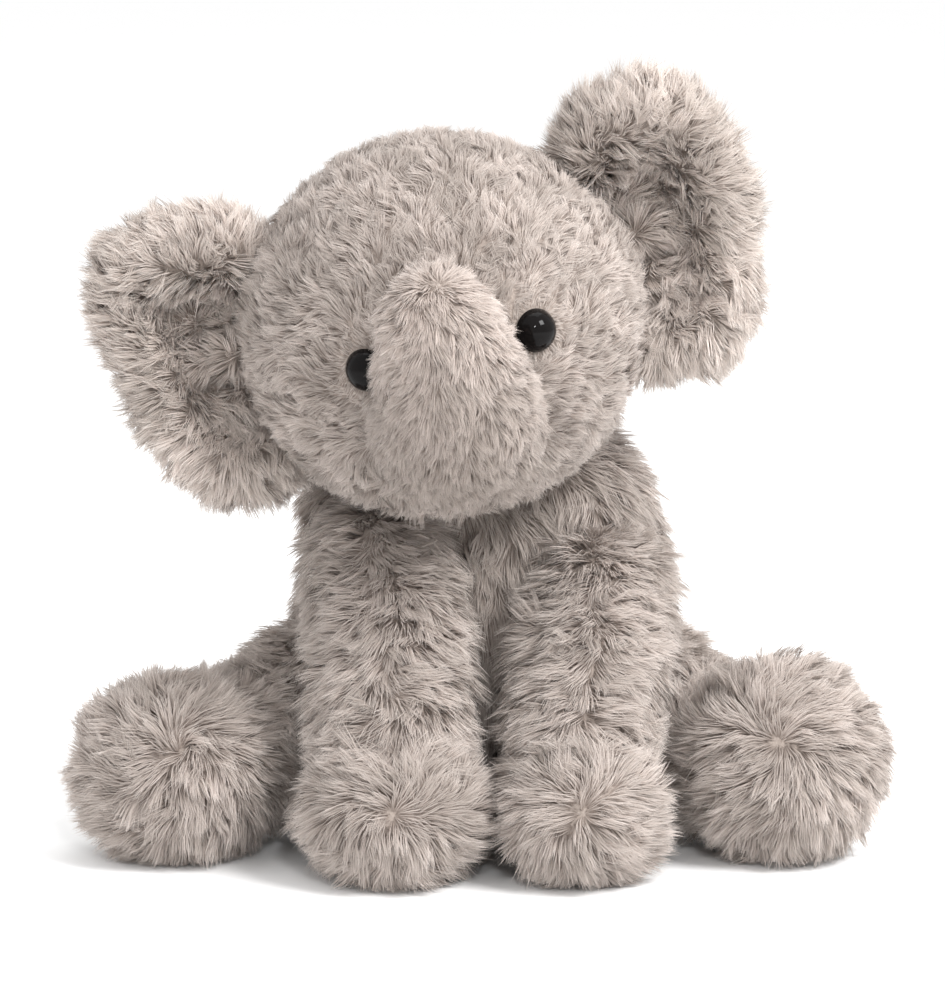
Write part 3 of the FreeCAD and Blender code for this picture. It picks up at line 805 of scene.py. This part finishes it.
def build_head():
    body = skin("head_skin", HEAD_BALLS, turns=4)
    finish_piece(body, "head", ["head_gusset"])
    panels = {
        "head_gusset_fur": (lambda x: np.abs(x) <= GUSSET_HALF, ()),
        "head_side_left_fur": (lambda x: x > GUSSET_HALF, ["head_side_left"]),
        "head_side_right_fur": (lambda x: x < -GUSSET_HALF, ["head_side_right"]),
    }
    for number, (name, (belongs, nodes)) in enumerate(panels.items()):
        def keep(points, normals, belongs=belongs):
            return belongs(into_head(points)[:, 0]) & head_keep(points, normals)

        fur = grow_fur(name, body, head_comb, 4.1, 6.6, HEAD_FUR, 200 + number, keep, lay=1.10,
                       width=0.30, sway=0.85, clump=18, pull=0.30, length_at=head_length, tone_size=20.0,
                       tone=head_seam_and_painted_shade)
        finish_piece(fur, "head", nodes)
    filling("head_filling", HEAD_BALLS, "head", "head_stuffing", thick=7.5)
    build_eye("right")
    build_eye("left")


def build_neck():
    """The ball of fill between torso and head, and the sewn ring round it."""
    centre = joint_spot("head_turn") + np.array([0.0, 8.0, 0.0])
    inner, outer, half = 15.0, 16.0, 6.0
    ball_skin = skin("neck_filling", [ball(centre, inner - 0.6)], STUFFING, voxel=2.0, turns=3)
    finish_piece(ball_skin, "neck", ["neck_stuffing"])
    section = [(inner, half), (outer - 0.3, half), (outer, half - 0.3), (outer, 0.3 - half),
               (outer - 0.3, -half), (inner, -half)]
    verts = []
    rings = lathe_rings(centre, np.array([0.0, -0.001, 1.0]), section, verts)
    obj = mesh_object("neck_ring_band", np.array(verts), band_faces(rings + rings[:1]), SKIN_CLOTH)
    finish_piece(obj, "neck_ring", ["neck_collar"])


def build_trunk():
    body = skin("trunk_skin", TRUNK_BALLS)
    finish_piece(body, "trunk", ["trunk_cover"])
    filling("trunk_filling", TRUNK_BALLS, "trunk", "trunk_stuffing")
    tip = TRUNK_POINTS[-1]
    root = TRUNK_POINTS[0]

    def keep(points, normals):
        return ~inside(points, HEAD_BALLS, -3.0)

    def trunk_painted_light_and_shade(points, normals):
        """Painted light and shade: the pile lighter toward the raised tip and darker lower down, toward the
        underside.
        """
        # painted light above, painted shade below
        return np.clip((points[:, 2] - 150.0) / 60.0, -0.35, 0.4)

    toward_root = blended(away_from(tip + np.array([0, -4.0, 8.0])), along(root - tip),
                          lambda p: np.linalg.norm(p - tip, axis=1) / 40.0)
    fur = grow_fur("trunk_fur", body, toward_root, 6.2, 6.6, TRUNK_FUR, 301, keep, lay=1.0, width=0.29,
                   sway=0.6, clump=16, pull=0.30, tone_size=22.0, tone=trunk_painted_light_and_shade)
    finish_piece(fur, "trunk")


def build_ear(side_name):
    side, rise, corner, lower = EARS[side_name]
    name = "ear_" + side_name
    balls = ear_balls(side, rise, corner, lower)
    body = skin(name + "_skin", balls, voxel=2.0, turns=7)
    finish_piece(body, name, [name + "_front_panel"])
    filling(name + "_filling", balls, name, name + "_wadding")
    middle = on_head(side * 62.0, EAR_BACK, 8.0 + rise)

    def keep(points, normals):
        return ~inside(points, HEAD_BALLS, -3.0)

    fur = grow_fur(name + "_fur", body, away_from(middle), 4.9, 10.0, EAR_FUR,
                   400 + int(side), keep, lay=0.88, width=0.34, sway=0.85, clump=18, pull=0.34)
    finish_piece(fur, name, [name + "_back_panel"])


def build_front_leg(side_name):
    name = "front_%s_leg" % side_name
    balls = FRONT_LEGS[side_name]
    body = skin(name + "_skin", balls)
    finish_piece(body, name, [name + "_cover"])
    filling(name + "_filling", balls, name, name + "_stuffing")
    toe = balls[-1][0] + np.array([0.0, -24.0, 4.0])
    top = balls[0][0]

    def keep(points, normals):
        hidden = inside(points, TORSO_BALLS, -6.0) | inside(points, HEAD_BALLS, -4.0)
        return ~hidden & ~under(points, normals)

    def parted(points, normals):
        """Down the leg, and outwards from the seam that runs down its front."""
        middle = np.interp(points[:, 2], [20.0, 90.0], [toe[0], top[0]])
        out = np.clip((points[:, 0] - middle) / 9.0, -1.0, 1.0)
        return np.stack([out * 0.85, np.full(len(points), -0.12), np.full(len(points), -0.8)], axis=1)

    comb = blended(parted, swirl_from(toe, 0.5), lambda p: (46.0 - p[:, 2]) / 12.0)
    fur = grow_fur(name + "_fur", body, comb, 4.2, 10.5, BODY_FUR, 500 + len(side_name), keep, lay=0.88,
                   width=0.34, sway=0.75, clump=18, pull=0.32, tone_size=26.0)
    finish_piece(fur, name, ["front_%s_sole" % side_name])


def build_hind_leg(side_name):
    name = "hind_%s_leg" % side_name
    balls = HIND_LEGS[side_name]
    side = -1.0 if side_name == "right" else 1.0
    body = skin(name + "_skin", balls)
    finish_piece(body, name, [name + "_cover"])
    filling(name + "_filling", balls, name, name + "_stuffing")
    foot = balls[-1][0]
    swirl = foot + np.array([-side * 4.0, -26.0, 12.0])

    def keep(points, normals):
        return ~inside(points, TORSO_BALLS, -6.0) & ~under(points, normals)

    comb = blended(along((side * 0.4, -0.3, -0.5)), swirl_from(swirl, -0.55),
                   lambda p: (38.0 - np.linalg.norm(p - foot, axis=1)) / 6.0 + 0.5)
    fur = grow_fur(name + "_fur", body, comb, 3.9, 10.5, BODY_FUR, 600 + int(side), keep, lay=0.85,
                   width=0.34, sway=0.75, clump=18, pull=0.32, tone_size=26.0)
    finish_piece(fur, name, ["hind_%s_sole" % side_name])


def build_tail():
    low, high = box_mm("tail_tuft")
    tuft = (low + high) / 2.0
    root = joint_spot("tail_swing")
    body = skin("tail_skin", bone(root, 5.0, tuft, 4.2) + [ball(tuft, 6.0)], voxel=1.4, turns=4)
    finish_piece(body, "tail", ["tail_cover"])
    fur = grow_fur("tail_fur", body, along(tuft - root), 5.0, 9.0, BODY_FUR, 701, None, lay=0.9, width=0.4)
    finish_piece(fur, "tail", ["tail_tuft"])


build_torso()
build_head()
build_neck()
build_trunk()
for side_name in ("right", "left"):
    build_ear(side_name)
    build_front_leg(side_name)
    build_hind_leg(side_name)
build_tail()

# ------------------------------------------------------------------- materials of the CAD's pieces


def dress(node, material):
    slots = frame["nodes"][node].data.materials
    for index in range(len(slots)):
        slots[index] = material


for node in frame["nodes"]:
    if "stuffing" in node or "wadding" in node:
        dress(node, STUFFING)
for node, material in (("pellet_pouch", POUCH_CLOTH), ("closing_stitches", THREAD), ("care_label", RIBBON)):
    dress(node, material)

# ------------------------------------------------------------------------- floor, light and camera


def studio():
    floor = mesh_object("floor", np.array([(-9000, -9000, 0), (9000, -9000, 0), (9000, 14000, 0),
                                           (-9000, 14000, 0)], float), [(0, 1, 2, 3)],
                        plastic_material("floor_paint", (0.95, 0.95, 0.95), 0.9, 0.995))
    world = bpy.data.worlds.new("studio")
    bpy.context.scene.world = world
    world.use_nodes = True
    world.node_tree.nodes["Background"].inputs["Color"].default_value = (1.0, 1.0, 1.0, 1.0)
    world.node_tree.nodes["Background"].inputs["Strength"].default_value = 1.04
    for name, place, size, watts in (
            ("key", (0.95, -0.85, 1.25), 0.60, 30.0),
            ("glint", (0.10, -1.3, 0.75), 0.09, 5.0),
            ("top", (0.1, 0.3, 1.6), 1.0, 6.0)):
        light = bpy.data.lights.new(name, "AREA")
        light.size = size
        light.energy = watts
        lamp = bpy.data.objects.new(name, light)
        lamp.location = place
        aim = Vector((0.0, -0.02, 0.12)) - Vector(place)
        lamp.rotation_euler = aim.to_track_quat("-Z", "Y").to_euler()
        bpy.context.scene.collection.objects.link(lamp)
    bpy.context.scene.view_settings.view_transform = "Standard"


def camera():
    """The camera stands in front, nine degrees up, far enough back for a flat product view."""
    distance, elevation = 1.35, math.radians(9.0)
    target = Vector((-0.0022, -0.012, 0.1115))
    data = bpy.data.cameras.new("camera")
    data.sensor_width = 36.0
    data.lens = 159.0
    eye = bpy.data.objects.new("camera", data)
    eye.location = target + Vector((0.0, -math.cos(elevation), math.sin(elevation))) * distance
    eye.rotation_euler = (target - eye.location).to_track_quat("-Z", "Y").to_euler()
    bpy.context.scene.collection.objects.link(eye)
    bpy.context.scene.camera = eye


studio()
camera()
